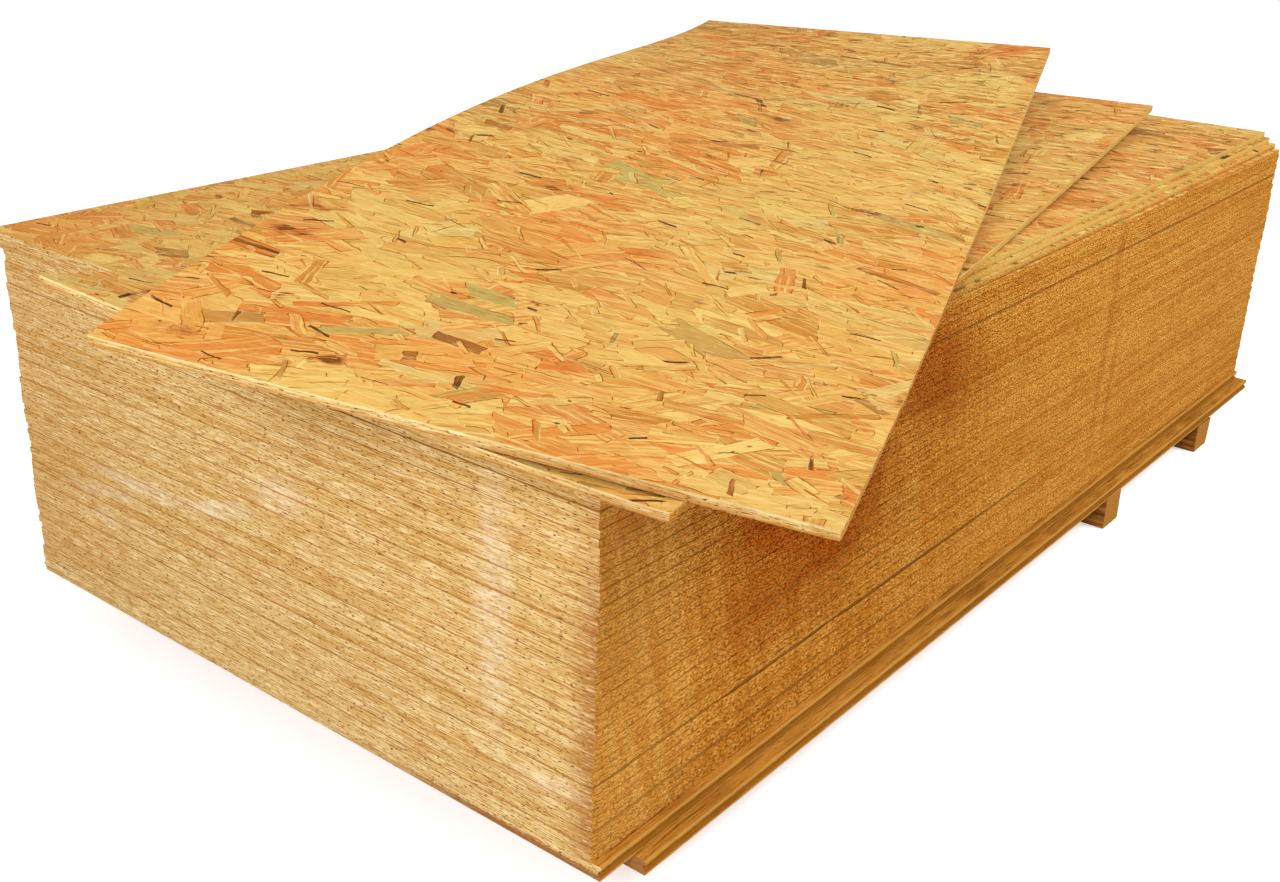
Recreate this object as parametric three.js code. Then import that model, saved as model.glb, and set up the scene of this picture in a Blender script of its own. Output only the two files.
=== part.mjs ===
import * as THREE from 'three';

// Stack of OSB panels on timber bearers, in millimetres, +Z up.
// +X runs along the panels' length and +Y across their width. The stack's
// front right corner stands at x = 0, y = 0 until the whole model is centred
// over its footprint on the last lines.

// Panels of the stack
const panelLength = 2440;
const panelWidth = 1220;
const panelThickness = 11;
const panelCount = 51;
const seatGap = 0.3;

// Wider shadow lines between the packs that the stack was built from
const packTops = [4, 10, 43];
const packGap = 0.8;

// How far single panels wander from a true stack
const wanderAlong = 2.6;
const wanderAcross = 1.4;

// The topmost panels fan out a little, about the front right corner
const fanCount = 3;
const fanStep = 0.32;

// Two tongue and groove carrier boards under the stack
const boardThickness = 22;
const boardLength = 2440;
const boardWidth = 1230;
const grooveRadius = 4.5;
const tongueClearance = 0.5;
const upperBoard = { setBack: 4, overhang: 13, turn: 0.2 };
const lowerBoard = { setBack: 72, overhang: 32, turn: 0.15 };
const lowerBoardLength = 2390;

// Timber bearers, their long axes across the stack
const bearerHeight = 66;
const bearerWidth = 78;
const bearerChamfer = 3;
const outerBearerOffset = 950;
const innerBearerOffset = 412;
const backBearer = { start: -28, length: 1276 };
const frontBearer = { start: 45, length: 1130 };

// Two loose, narrower sheets lying askew on the stack. Each bows up towards its
// far end, and its left edge is sprung up, most of all towards the front.
const looseLength = 2440;
const looseWidth = 840;
const looseThickness = 11;
const stepsAlong = 32;
const stepsAcross = 12;
const facetSlack = 0.2;
const lowerSheet = {
  along: -118.6, across: -181.4, turn: 10.3,
  flat: 900, rise: 37.6, bowPower: 1.5,
  spring: 92, swell: 0, springAlong: 800, fall: 2, acrossPower: 1.3,
};
const upperSheet = {
  along: -35.3, across: -323.5, turn: 20,
  flat: 300, rise: 141.4, bowPower: 1.3,
  spring: 76, swell: 480, springAlong: 2440, fall: 1.5, acrossPower: 1,
};

const osbFace = { color: 0xdca35a, roughness: 0.75, metalness: 0 };
const osbLoose = { color: 0xe0aa62, roughness: 0.7, metalness: 0 };
const boardFace = { color: 0xb5793c, roughness: 0.8, metalness: 0 };
const timber = { color: 0xa8702c, roughness: 0.85, metalness: 0 };

const stack = new THREE.Group();
const topGroup = new THREE.Group();

function addPiece(group, name, geometry, finish) {
  const mesh = new THREE.Mesh(geometry, new THREE.MeshStandardMaterial(finish));
  mesh.name = name;
  group.add(mesh);
  return mesh;
}

// Turns a section drawn in y and z so that its extrusion runs along +X.
function alongX(section, length) {
  const body = new THREE.ExtrudeGeometry(section, { depth: length, bevelEnabled: false, curveSegments: 10 });
  const yAxis = new THREE.Vector3(0, 1, 0);
  const zAxis = new THREE.Vector3(0, 0, 1);
  const xAxis = new THREE.Vector3(1, 0, 0);
  return body.applyMatrix4(new THREE.Matrix4().makeBasis(yAxis, zAxis, xAxis));
}

// Turns a section drawn in x and z so that its extrusion runs along +Y.
function alongY(section, length) {
  const body = new THREE.ExtrudeGeometry(section, { depth: length, bevelEnabled: false, curveSegments: 10 });
  return body.rotateX(Math.PI / 2).translate(0, length, 0);
}

// Carrier board: round groove in the right long edge, round tongue on the left.
function grooveSection() {
  const middle = boardThickness / 2;
  const tongueRadius = grooveRadius - tongueClearance;
  const section = new THREE.Shape();
  section.moveTo(0, 0);
  section.lineTo(boardWidth, 0);
  section.lineTo(boardWidth, middle - tongueRadius);
  section.absarc(boardWidth, middle, tongueRadius, -Math.PI / 2, Math.PI / 2, false);
  section.lineTo(boardWidth, boardThickness);
  section.lineTo(0, boardThickness);
  section.lineTo(0, middle + grooveRadius);
  section.absarc(0, middle, grooveRadius, Math.PI / 2, -Math.PI / 2, true);
  section.closePath();
  return section;
}

function placeBoard(name, board, length, bottom) {
  const mesh = addPiece(stack, name, alongX(grooveSection(), length), boardFace);
  mesh.position.set(board.setBack, -board.overhang, bottom);
  mesh.rotation.z = THREE.MathUtils.degToRad(board.turn);
}

// Bearer section: a sawn rectangle with its four long edges eased.
function bearerSection() {
  const half = bearerWidth / 2;
  const section = new THREE.Shape();
  section.moveTo(-half + bearerChamfer, 0);
  section.lineTo(half - bearerChamfer, 0);
  section.lineTo(half, bearerChamfer);
  section.lineTo(half, bearerHeight - bearerChamfer);
  section.lineTo(half - bearerChamfer, bearerHeight);
  section.lineTo(-half + bearerChamfer, bearerHeight);
  section.lineTo(-half, bearerHeight - bearerChamfer);
  section.lineTo(-half, bearerChamfer);
  section.closePath();
  return section;
}

function placeBearer(name, x, span) {
  const mesh = addPiece(stack, name, alongY(bearerSection(), span.length), timber);
  mesh.position.set(x, span.start, 0);
}

const midLength = panelLength / 2;
placeBearer('bearer_front_outer', midLength - outerBearerOffset, frontBearer);
placeBearer('bearer_front_inner', midLength - innerBearerOffset, frontBearer);
placeBearer('bearer_back_inner', midLength + innerBearerOffset, backBearer);
placeBearer('bearer_back_outer', midLength + outerBearerOffset, backBearer);

let level = bearerHeight + seatGap;
placeBoard('carrier_board_lower', lowerBoard, lowerBoardLength, level);
level += boardThickness + seatGap;
placeBoard('carrier_board_upper', upperBoard, boardLength, level);
level += boardThickness + seatGap;

// Each panel is one flat sheet; slow and quick waves of offset stagger the edges.
for (let i = 1; i <= panelCount; i++) {
  const sheet = new THREE.BoxGeometry(panelLength, panelWidth, panelThickness);
  sheet.translate(panelLength / 2, panelWidth / 2, panelThickness / 2);
  const mesh = addPiece(stack, `panel_${String(i).padStart(2, '0')}`, sheet, osbFace);
  const along = wanderAlong * (0.6 * Math.sin(0.41 * i) + 0.4 * Math.sin(2.3 * i + 1));
  const across = wanderAcross * (0.5 * Math.sin(0.27 * i + 2) + 0.5 * Math.sin(2.9 * i));
  mesh.position.set(along, across, level);
  const fanned = Math.max(0, i - (panelCount - fanCount));
  mesh.rotation.z = THREE.MathUtils.degToRad(fanned * fanStep);
  level += panelThickness + (packTops.includes(i) ? packGap : seatGap);
}

// Lift of a loose sheet above its seat, s along it and t across it: the bow of
// its whole width, plus the spring of its left edge, which fades to the right.
function liftAt(sheet, s, t) {
  const bow = Math.pow(Math.max(0, s - sheet.flat) / (looseLength - sheet.flat), sheet.bowPower);
  const fade = Math.pow(Math.max(0, 1 - s / sheet.springAlong), sheet.fall);
  const tilt = Math.pow(t / looseWidth, sheet.acrossPower);
  return sheet.rise * bow + tilt * fade * (sheet.spring + sheet.swell * s / looseLength);
}

// Height of the upper sheet's seat above the lower sheet's: the least at which it
// clears the lower sheet, or the stack beside it, at every point of a fine grid.
function seatHeight(lower, upper) {
  const origin = new THREE.Vector2();
  const clearance = looseThickness + seatGap + facetSlack;
  let height = -Infinity;
  for (let s = 0; s <= looseLength; s += looseLength / (2 * stepsAlong)) {
    for (let t = 0; t <= looseWidth; t += looseWidth / (2 * stepsAcross)) {
      const spot = new THREE.Vector2(s, t).rotateAround(origin, THREE.MathUtils.degToRad(upper.turn));
      spot.add(new THREE.Vector2(upper.along, upper.across));
      const below = new THREE.Vector2(spot.x - lower.along, spot.y - lower.across);
      below.rotateAround(origin, -THREE.MathUtils.degToRad(lower.turn));
      const overSheet = below.x >= 0 && below.x <= looseLength && below.y >= 0 && below.y <= looseWidth;
      const overStack = spot.x >= 0 && spot.x <= panelLength && spot.y >= 0 && spot.y <= panelWidth;
      if (overSheet) {
        height = Math.max(height, clearance + liftAt(lower, below.x, below.y) - liftAt(upper, s, t));
      } else if (overStack) {
        height = Math.max(height, -liftAt(upper, s, t));
      }
    }
  }
  return height;
}

function placeLooseSheet(name, sheet, bottom) {
  const body = new THREE.BoxGeometry(looseLength, looseWidth, looseThickness, stepsAlong, stepsAcross, 1);
  body.translate(looseLength / 2, looseWidth / 2, looseThickness / 2);
  const spots = body.attributes.position;
  for (let i = 0; i < spots.count; i++) {
    spots.setZ(i, spots.getZ(i) + liftAt(sheet, spots.getX(i), spots.getY(i)));
  }
  body.computeVertexNormals();
  const mesh = addPiece(topGroup, name, body, osbLoose);
  mesh.position.set(sheet.along, sheet.across, bottom);
  mesh.rotation.z = THREE.MathUtils.degToRad(sheet.turn);
}

placeLooseSheet('loose_sheet_lower', lowerSheet, level);
placeLooseSheet('loose_sheet_upper', upperSheet, level + seatHeight(lowerSheet, upperSheet));
stack.add(topGroup);

// Centre the footprint over the origin, with the bearers' undersides at z = 0.
stack.updateMatrixWorld(true);
const bounds = new THREE.Box3().setFromObject(stack, true);
const middle = bounds.getCenter(new THREE.Vector3());
stack.position.set(-middle.x, -middle.y, -bounds.min.z);
stack.updateMatrixWorld(true);

export default stack;
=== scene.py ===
import math
import bpy
import numpy as np
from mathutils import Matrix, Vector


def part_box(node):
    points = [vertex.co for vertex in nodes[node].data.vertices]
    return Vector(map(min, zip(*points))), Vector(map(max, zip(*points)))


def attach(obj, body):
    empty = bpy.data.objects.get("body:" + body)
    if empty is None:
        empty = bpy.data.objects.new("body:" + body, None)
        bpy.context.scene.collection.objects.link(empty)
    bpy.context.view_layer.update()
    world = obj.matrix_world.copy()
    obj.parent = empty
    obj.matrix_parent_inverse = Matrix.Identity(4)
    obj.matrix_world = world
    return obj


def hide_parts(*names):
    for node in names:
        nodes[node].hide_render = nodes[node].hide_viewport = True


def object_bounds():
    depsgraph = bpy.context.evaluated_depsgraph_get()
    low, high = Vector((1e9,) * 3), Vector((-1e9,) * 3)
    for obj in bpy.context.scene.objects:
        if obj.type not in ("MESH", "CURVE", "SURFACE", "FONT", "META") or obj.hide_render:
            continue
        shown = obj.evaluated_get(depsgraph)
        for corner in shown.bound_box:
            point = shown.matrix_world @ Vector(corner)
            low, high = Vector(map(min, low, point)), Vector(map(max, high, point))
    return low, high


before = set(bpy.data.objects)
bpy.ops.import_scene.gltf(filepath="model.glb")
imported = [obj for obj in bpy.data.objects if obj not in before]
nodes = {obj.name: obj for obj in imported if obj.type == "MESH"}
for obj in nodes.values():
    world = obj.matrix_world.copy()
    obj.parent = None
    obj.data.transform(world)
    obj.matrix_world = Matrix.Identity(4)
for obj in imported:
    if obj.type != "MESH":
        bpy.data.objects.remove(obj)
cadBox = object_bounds()
print("frame loaded:", len(nodes), "pieces")

panelNames = sorted(name for name in nodes if name.startswith("panel_"))
bearerNames = sorted(name for name in nodes if name.startswith("bearer_"))
corner = np.array(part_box("panel_01")[0])  # near bottom corner of the lowest panel, metres


# Random numbers at even knots round a loop, one for each run of steps, joined by
# the s-curve 3f^2 - 2f^3.
def loopNoise(dice, count, run):
    values = dice.uniform(-1, 1, max(3, int(count / run)))
    place = np.arange(count) * len(values) / count
    low = place.astype(int)
    part = place - low
    part = part * part * (3 - 2 * part)
    return values[low % len(values)] * (1 - part) + values[(low + 1) % len(values)] * part


# Chips: chip x (quick noise + slow x slow noise - from), kept between 0 and chip.
def chips(dice, count, wear):
    quick, slow = (loopNoise(dice, count, run) for run in wear["chipRuns"])
    return wear["chip"] * np.clip(quick + wear["chipSlow"] * slow - wear["chipFrom"], 0, 1)


# Rows of points, each a ring, become one closed skin: two triangles join each
# point to the next in its row and to the next row, points that fall together
# are made one, and triangles that lost a corner are left out.
joinGrid = 1e7  # steps in a millimetre


def knitRings(rings):
    rows, count = rings.shape[:2]
    at = np.arange(rows * count).reshape(rows, count)
    after = np.roll(at, -1, axis=1)
    a, b, c, d = at[:-1], after[:-1], after[1:], at[1:]
    triangles = np.concatenate([np.stack([a, b, c], -1), np.stack([a, c, d], -1)], axis=1).reshape(-1, 3)
    band = np.repeat(np.arange(rows - 1), 2 * count)
    rounded = np.round(rings.reshape(-1, 3) * joinGrid).astype(np.int64)
    first, place = np.unique(rounded, axis=0, return_index=True, return_inverse=True)[1:]
    triangles = place.reshape(-1)[triangles]
    whole = (triangles != np.roll(triangles, 1, axis=1)).all(axis=1)
    return first, triangles[whole], band[whole]


def addObject(name, data):
    thing = bpy.data.objects.new(name, data)
    bpy.context.scene.collection.objects.link(thing)
    return thing


# Puts points and triangles into a mesh, with its material slots, the numbers
# the finishes read, and smooth shading up to a given crease in degrees.
def makePiece(name, points, triangles, slots, materials, extras, crease=32):
    mesh = bpy.data.meshes.new(name)
    mesh.vertices.add(len(points))
    mesh.vertices.foreach_set("co", points.astype(np.float32).ravel())
    mesh.loops.add(triangles.size)
    mesh.loops.foreach_set("vertex_index", triangles.astype(np.int32).ravel())
    mesh.polygons.add(len(triangles))
    mesh.polygons.foreach_set("loop_start", np.arange(0, triangles.size, 3, dtype=np.int32))
    for material in materials:
        mesh.materials.append(material)
    mesh.polygons.foreach_set("material_index", slots.astype(np.int32))
    mesh.update(calc_edges=True)
    for label, values in extras.items():
        kind, field = ("FLOAT", "value") if values.ndim == 1 else ("FLOAT_VECTOR", "vector")
        mesh.attributes.new(label, kind, "POINT").data.foreach_set(field, values.astype(np.float32).ravel())
    mesh.polygons.foreach_set("use_smooth", np.ones(len(triangles), dtype=bool))
    mesh.set_sharp_from_angle(angle=math.radians(crease))
    return addObject(name, mesh)


# Hex colour to linear light: c / 12.92 up to 0.04045, else ((c + 0.055) / 1.055)^2.4.
def linear(hexText):
    out = []
    for i in (0, 2, 4):
        c = int(hexText[i:i + 2], 16) / 255
        out.append(c / 12.92 if c <= 0.04045 else ((c + 0.055) / 1.055) ** 2.4)
    return (*out, 1.0)


# Adds nodes to one tree and wires them as it goes. A value may be another node's
# output, a number, a vector or a hex colour.
class NodePen:
    def __init__(self, tree):
        self.tree = tree
        self.count = 0

    def add(self, kind, inputs=None, **settings):
        node = self.tree.nodes.new(kind)
        node.location = (200 * (self.count // 6), -170 * (self.count % 6))
        self.count += 1
        for name, value in settings.items():
            setattr(node, name, value)
        for key, value in (inputs or {}).items():
            self.feed(node.inputs[key], value)
        return node

    def feed(self, socket, value):
        if isinstance(value, bpy.types.NodeSocket):
            self.tree.links.new(value, socket)
        elif value is not None:
            socket.default_value = linear(value) if isinstance(value, str) else value

    def calc(self, operation, *values, clamp=False):
        node = self.add("ShaderNodeMath", dict(enumerate(values)), operation=operation, use_clamp=clamp)
        return node.outputs[0]

    def times(self, a, b, plus=None):
        return self.calc("MULTIPLY" if plus is None else "MULTIPLY_ADD", a, b, plus)

    def vector(self, operation, *values, scale=None):
        node = self.add("ShaderNodeVectorMath", {**dict(enumerate(values)), 3: scale}, operation=operation)
        return node.outputs["Value" if operation in ("LENGTH", "DOT_PRODUCT") else "Vector"]

    def join(self, x=0.0, y=0.0, z=0.0):
        return self.add("ShaderNodeCombineXYZ", {0: x, 1: y, 2: z}).outputs[0]

    def split(self, value):
        return self.add("ShaderNodeSeparateXYZ", {0: value}).outputs

    def turn(self, value, angle):
        node = self.add("ShaderNodeVectorRotate", {"Vector": value, "Angle": angle}, rotation_type="Z_AXIS")
        return node.outputs[0]

    def rise(self, value, low, high, start=0.0, end=1.0):
        ends = {"Value": value, "From Min": low, "From Max": high, "To Min": start, "To Max": end}
        return self.add("ShaderNodeMapRange", ends, interpolation_type="SMOOTHSTEP").outputs["Result"]

    # The mix node has a pair of sockets and an output for each kind of data.
    def mix(self, factor, a, b, data="FLOAT", way="MIX"):
        at = ("FLOAT", "VECTOR", "RGBA").index(data)
        pair = {0: factor, 2 + 2 * at: a, 3 + 2 * at: b}
        return self.add("ShaderNodeMix", pair, data_type=data, blend_type=way).outputs[at]

    # Lays a colour over the base, as strong as the masks' product.
    def lay(self, base, colour, first, *masks, way="MIX"):
        for mask in masks:
            first = self.times(first, mask)
        return self.mix(first, base, colour, "RGBA", way)

    # Lays on a mark of a look: its colour, where the value rises as the look's
    # "From" says.
    def mark(self, base, look, name, value, *masks, way="MIX"):
        return self.lay(base, look[name], self.rise(value, *look[name + "From"]), *masks, way=way)

    def noise(self, place, detail=2.0, rough=0.5, size="2D", give="Fac", scale=1.0):
        values = {"Vector": place, "Scale": scale, "Detail": detail, "Roughness": rough}
        return self.add("ShaderNodeTexNoise", values, noise_dimensions=size).outputs[give]

    def ramp(self, factor, stops):
        node = self.add("ShaderNodeValToRGB", {0: factor})
        marks = node.color_ramp.elements
        while len(marks) < len(stops):
            marks.new(0.5)
        for mark, (place, colour) in zip(marks, stops):
            mark.position = place
            mark.color = linear(colour)
        return node.outputs[0]

    def facing(self):
        return self.split(self.add("ShaderNodeNewGeometry").outputs["True Normal"])

    def attribute(self, name):
        return self.add("ShaderNodeAttribute", attribute_type="GEOMETRY", attribute_name=name).outputs

    def group(self, tree, **values):
        return self.add("ShaderNodeGroup", values, node_tree=tree).outputs

    def finish(self, **values):
        self.add("NodeGroupOutput", values)
        return self.tree


# A group's sockets are named in one string for each kind.
def newGroup(name, takes, gives):
    tree = bpy.data.node_groups.new(name, "ShaderNodeTree")
    for way, sockets in (("INPUT", takes), ("OUTPUT", gives)):
        for kind, names in sockets.items():
            for label in names.split():
                tree.interface.new_socket(label, in_out=way, socket_type="NodeSocket" + kind)
    pen = NodePen(tree)
    return pen, pen.add("NodeGroupInput").outputs


def newMaterial(name):
    material = bpy.data.materials.new(name)
    material.use_nodes = True
    material.node_tree.nodes.clear()
    return material, NodePen(material.node_tree)


# Plain wood shader; the height is in millimetres.
woodShader = dict(specular=0.02, bumpDistance=0.001)


def finishWood(pen, colour, rough, height, strength):
    bump = {"Strength": strength, "Distance": woodShader["bumpDistance"], "Height": height}
    shader = {"Base Color": colour, "Roughness": rough, "Specular IOR Level": woodShader["specular"],
              "Normal": pen.add("ShaderNodeBump", bump).outputs[0]}
    pen.add("ShaderNodeOutputMaterial", {"Surface": pen.add("ShaderNodeBsdfPrincipled", shader).outputs[0]})


# Layers from the bottom up, in degrees and millimetres: main direction and its
# spread, cell, least and most half size of a strand, the share of the tone scale
# that it may have, and how far it strays. Most strands run across the panel.
def layerOf(seed, turn, spread, cell, least, most, span, play):
    return dict(seed=seed, turn=turn, spread=spread, cell=cell, least=least, most=most, span=span, play=play)


strandLayers = [
    layerOf(0.0, 101, 4, (190, 52), (150, 40), (150, 40), 0.80, 0.3),
    layerOf(3.4, 112, 18, (165, 58), (36, 9), (78, 27), 0.90, 0.35),
    layerOf(5.1, 76, 24, (156, 64), (20, 5), (74, 26), 0.93, 0.35),
    layerOf(6.8, 130, 30, (148, 62), (6, 2), (70, 22), 0.97, 0.35),
    layerOf(8.5, 20, 120, (126, 108), (-20, 2), (64, 17), 0.90, 0.3),
    layerOf(10.2, 98, 34, (142, 44), (-30, 1), (68, 15), 1.0, 0.35),
    layerOf(11.9, 64, 110, (64, 27), (-16, 0.3), (28, 4.2), 1.0, 0.3)]
strandSlits = layerOf(31.0, 98, 70, (92, 51), (-24, 0.6), (19, 2.6), 1.0, 0.5)
# A strand's outline in metres, its painted shade and highlight, and its height in millimetres.
strandLook = dict(nudge=0.00003, shift=(0.731, 0.377), skew=0.9, hairline=0.0002, crackShade=0.75,
                  crackWidth=0.0013, rim=0.16, rimWidth=0.0015, brokenBy=(60.0, 300.0, 50.0), plain=0.96,
                  tilt=26.0, step=0.35, carried=0.5, bottomTone=0.3, bottomShade=0.9)


# One layer of strands. The plane, turned, is cut into equal cells, and each cell
# holds one rectangle that chance moves, turns and sizes:
# edge = max(|along + skew x across| - half length, |across| - half width),
# inside where edge < 0. Parts of its outline have a thin dark crack of painted
# shade outside, and a thin rim inside that is painted highlight in some places
# and painted shade in others. Elsewhere, what lies under shows.
def strandLayerGroup():
    pen, take = newGroup("strandLayer", dict(
        Vector="Plane Under Turn Cell Centre Least Grow", Float="Below Dim Seed Play Spread Back Span"),
        dict(Vector="Over", Float="Height Shade Inside"))
    look = strandLook
    nudged = pen.vector("MULTIPLY_ADD", take["Under"], (look["nudge"], look["nudge"], 0.0), take["Plane"])
    apart = pen.vector("SCALE", (*look["shift"], 0.0), scale=take["Seed"])
    place = pen.add("ShaderNodeMapping", {"Vector": nudged, "Location": apart, "Rotation": take["Turn"],
                                          "Scale": take["Cell"]}, vector_type="TEXTURE").outputs[0]
    dice = pen.add("ShaderNodeTexWhiteNoise", {"Vector": pen.vector("FLOOR", place)}, noise_dimensions="2D")
    luck = dice.outputs["Color"]
    chance = pen.split(luck)
    play = pen.times(take["Play"], -1.0)
    moved = pen.vector("ADD", pen.vector("FRACTION", place), pen.vector("SCALE", luck, scale=play))
    away = pen.vector("MULTIPLY_ADD", moved, take["Cell"], take["Centre"])
    spot = pen.split(pen.turn(away, pen.times(chance[2], take["Spread"], take["Back"])))
    tone = pen.times(chance[2], take["Span"])
    skew = pen.times(chance[1], 2 * look["skew"], -look["skew"])
    ends = pen.join(pen.times(spot[1], skew, spot[0]), spot[1], 0.0)
    half = pen.vector("MULTIPLY_ADD", luck, take["Grow"], take["Least"])
    past = pen.split(pen.vector("SUBTRACT", pen.vector("ABSOLUTE", ends), half))
    edge = pen.calc("MAXIMUM", past[0], past[1])
    inside = pen.calc("LESS_THAN", edge, 0.0)
    own = pen.join(spot[0], spot[1], tone)
    wave = pen.calc("SINE", pen.vector("DOT_PRODUCT", own, look["brokenBy"]))
    # Painted shade: a thin dark crack line outside parts of the outline; inside, a thin rim of painted
    # highlight in some places and painted shade in others.
    gap = pen.calc("MULTIPLY", pen.rise(edge, look["crackWidth"], look["hairline"]), wave, clamp=True)
    shadow = pen.times(take["Dim"], pen.times(gap, -look["crackShade"], 1.0))
    rim = pen.times(pen.rise(edge, -look["rimWidth"], -look["hairline"]), wave)
    rimmed = pen.times(rim, -look["rim"], look["plain"])
    tilt = pen.times(spot[1], pen.times(chance[1], look["tilt"], -look["tilt"] / 2))
    step = pen.times(take["Below"], look["carried"], look["step"])
    return pen.finish(
        Over=pen.mix(inside, take["Under"], own, "VECTOR"), Shade=pen.mix(inside, shadow, rimmed),
        Height=pen.mix(inside, take["Below"], pen.calc("ADD", step, tilt)), Inside=inside)


def placeStrand(pen, plane, seed, layer, under, height, shade):
    cell, least, most = (tuple(v / 1000 for v in layer[name]) for name in ("cell", "least", "most"))
    centre = [-(1 - layer["play"]) / 2 * v for v in cell]
    grow = [b - a for a, b in zip(least, most)]
    spread = math.radians(layer["spread"])
    return pen.group(strandLayer, Plane=plane, Under=under, Seed=pen.calc("ADD", seed, layer["seed"]),
                     Turn=(0.0, 0.0, math.radians(layer["turn"])), Cell=(*cell, 1.0), Play=layer["play"],
                     Centre=(*centre, 0.0), Least=(*least, 0.0), Grow=(*grow, 0.0), Spread=spread,
                     Back=-spread / 2, Span=layer["span"], Below=height, Dim=shade)


def placeStrands(pen, plane, seed, layers):
    under, height, shade = pen.join(z=strandLook["bottomTone"]), 0.0, strandLook["bottomShade"]
    for layer in layers:
        out = placeStrand(pen, plane, seed, layer, under, height, shade)
        under, height, shade = out["Over"], out["Height"], out["Shade"]
    return under, height, shade


strandLayer = strandLayerGroup()


# Colours by tone, by grain and by the shade between strands. Noise scales are
# along and across. A "From" says where a mark starts and is whole, and its
# strength at both.
strandsLook = dict(
    tones=[(0.00, "e4c77a"), (0.09, "daa85a"), (0.18, "d8b86c"), (0.28, "deae62"), (0.38, "cba256"),
           (0.48, "da904a"), (0.57, "be883c"), (0.66, "dfc076"), (0.74, "d07c38"), (0.81, "d1ba76"),
           (0.86, "c0843a"), (0.90, "b8a662"), (0.94, "9a5c1e"), (0.97, "6a4214"), (1.00, "4a2c0c")],
    grains=[(0.26, "e2cc9c"), (0.50, "fffdf8"), (0.72, "ffffff")],
    shades=[(0.0, "4a2806"), (0.35, "905818"), (0.75, "e0b870"), (0.92, "f9eed8"), (1.0, "ffffff")],
    wobble=0.006, wobbleScale=42.0, apart=(53.0, 97.0, 0.0), streak=(9.0, 190.0, 0.0),
    grain=(30.0, 520.0, 0.0), kinds=11.3, kindPower=1.6, deep="d3803c", deepFrom=(0.44, 0.64), cream="ead286",
    creamFrom=(0.46, 0.28, 0.0, 0.7), creamTones=(0.92, 0.84), vein="9c6024", veinFrom=(0.6, 0.74, 0.0, 0.55),
    knotCell=(11.0, 5.6, 1.0), knotRagged=0.42, knotGrow=0.22, knotPower=3.0, knotLeast=0.03, knotRim=-0.02,
    knotFrom=(0.48, 0.52), knotShare=0.85, bark="b8692a", knot="6b3610", corePower=4.0, driftScale=3.4,
    drift="db9044", driftFrom=(0.50, 0.74, 0.0, 0.42), calm="dabb6a", calmFrom=(0.50, 0.28, 0.0, 0.42),
    arris="f2dd98", arrisFrom=(0.98, 1.10, 0.0, 0.5), slit="44220a", slitShare=0.92,
    fibre=(420.0, 90.0, 1.0), fibreHeight=0.4, rough=(0.3, 0.7, 0.72, 0.58))


def strandFaceGroup():
    pen, take = newGroup("strandFace", dict(Vector="Plane", Float="Seed"),
                         dict(Color="Color", Float="Height Roughness"))
    look, seed = strandsLook, take["Seed"]
    wobble = pen.noise(take["Plane"], 3.0, give="Color", scale=look["wobbleScale"])
    plane = pen.vector("MULTIPLY_ADD", wobble, (look["wobble"], look["wobble"], 0.0), take["Plane"])
    under, shade = placeStrands(pen, plane, seed, strandLayers)[::2]
    tone = pen.split(under)[2]
    # Grain runs along each strand, in the strand's own frame.
    kind = pen.calc("POWER", pen.calc("FRACT", pen.times(tone, look["kinds"])), look["kindPower"])
    apart = pen.vector("SCALE", look["apart"], scale=tone)
    streak = pen.noise(pen.vector("MULTIPLY_ADD", under, look["streak"], apart), 2.0, 0.55)
    grain = pen.noise(pen.vector("MULTIPLY_ADD", under, look["grain"], apart), 2.0, 0.6)
    base = pen.mark(pen.ramp(tone, look["tones"]), look, "deep", streak, kind)
    base = pen.mark(base, look, "cream", streak, pen.rise(tone, *look["creamTones"]))
    base = pen.lay(base, pen.ramp(grain, look["grains"]), 1.0, way="MULTIPLY")
    base = pen.mark(base, look, "vein", grain)
    # Knots: ragged patches of bark with a dark core, in some of the cells.
    spots = pen.add("ShaderNodeTexVoronoi", {
        "Vector": pen.vector("ADD", pen.vector("MULTIPLY", plane, look["knotCell"]), pen.join(seed, seed)),
        "Scale": 1.0}, voronoi_dimensions="2D", feature="F1").outputs
    chance = pen.split(spots["Color"])
    ragged = pen.calc("SUBTRACT", pen.calc("ADD", pen.split(wobble)[2], streak), 1.0)
    reach = pen.times(ragged, look["knotRagged"], spots["Distance"])
    size = pen.times(pen.calc("POWER", chance[1], look["knotPower"]), look["knotGrow"], look["knotLeast"])
    knot = pen.times(pen.rise(reach, size, look["knotRim"]), pen.rise(chance[0], *look["knotFrom"]))
    base = pen.lay(base, look["bark"], knot, look["knotShare"])
    base = pen.lay(base, look["knot"], pen.calc("POWER", knot, look["corePower"]), look["knotShare"])
    # Broad drift of colour, the painted shade between the strands, and a painted highlight on their rims.
    wide = pen.noise(pen.vector("ADD", take["Plane"], pen.join(seed)), 1.0, scale=look["driftScale"])
    base = pen.mark(pen.mark(base, look, "drift", wide), look, "calm", wide)
    base = pen.lay(base, pen.ramp(shade, look["shades"]), 1.0, way="MULTIPLY")
    # Painted highlight: pale where a strand's rim brightens past the plain shade.
    base = pen.mark(base, look, "arris", shade)
    # Short dark slits among the strands.
    slit = placeStrand(pen, plane, seed, strandSlits, under, 0.0, 1.0)
    base = pen.lay(base, look["slit"], slit["Inside"], look["slitShare"])
    # The relief comes from the last layer of long strands alone.
    top = placeStrands(pen, plane, seed, strandLayers[-2:-1])[1]
    fibre = pen.noise(pen.vector("MULTIPLY", plane, look["fibre"]), 1.0)
    return pen.finish(Color=base, Height=pen.times(fibre, look["fibreHeight"], top),
                      Roughness=pen.rise(grain, *look["rough"]))


strandFace = strandFaceGroup()


# A soft patch: 1 inside a turned ellipse, falling to 0 over its rim, its outline
# moved in and out by the noise. Centre and reach are in metres.
patchRim = (1.3, 0.3)  # from nothing to the whole, as shares of the reach


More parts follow.
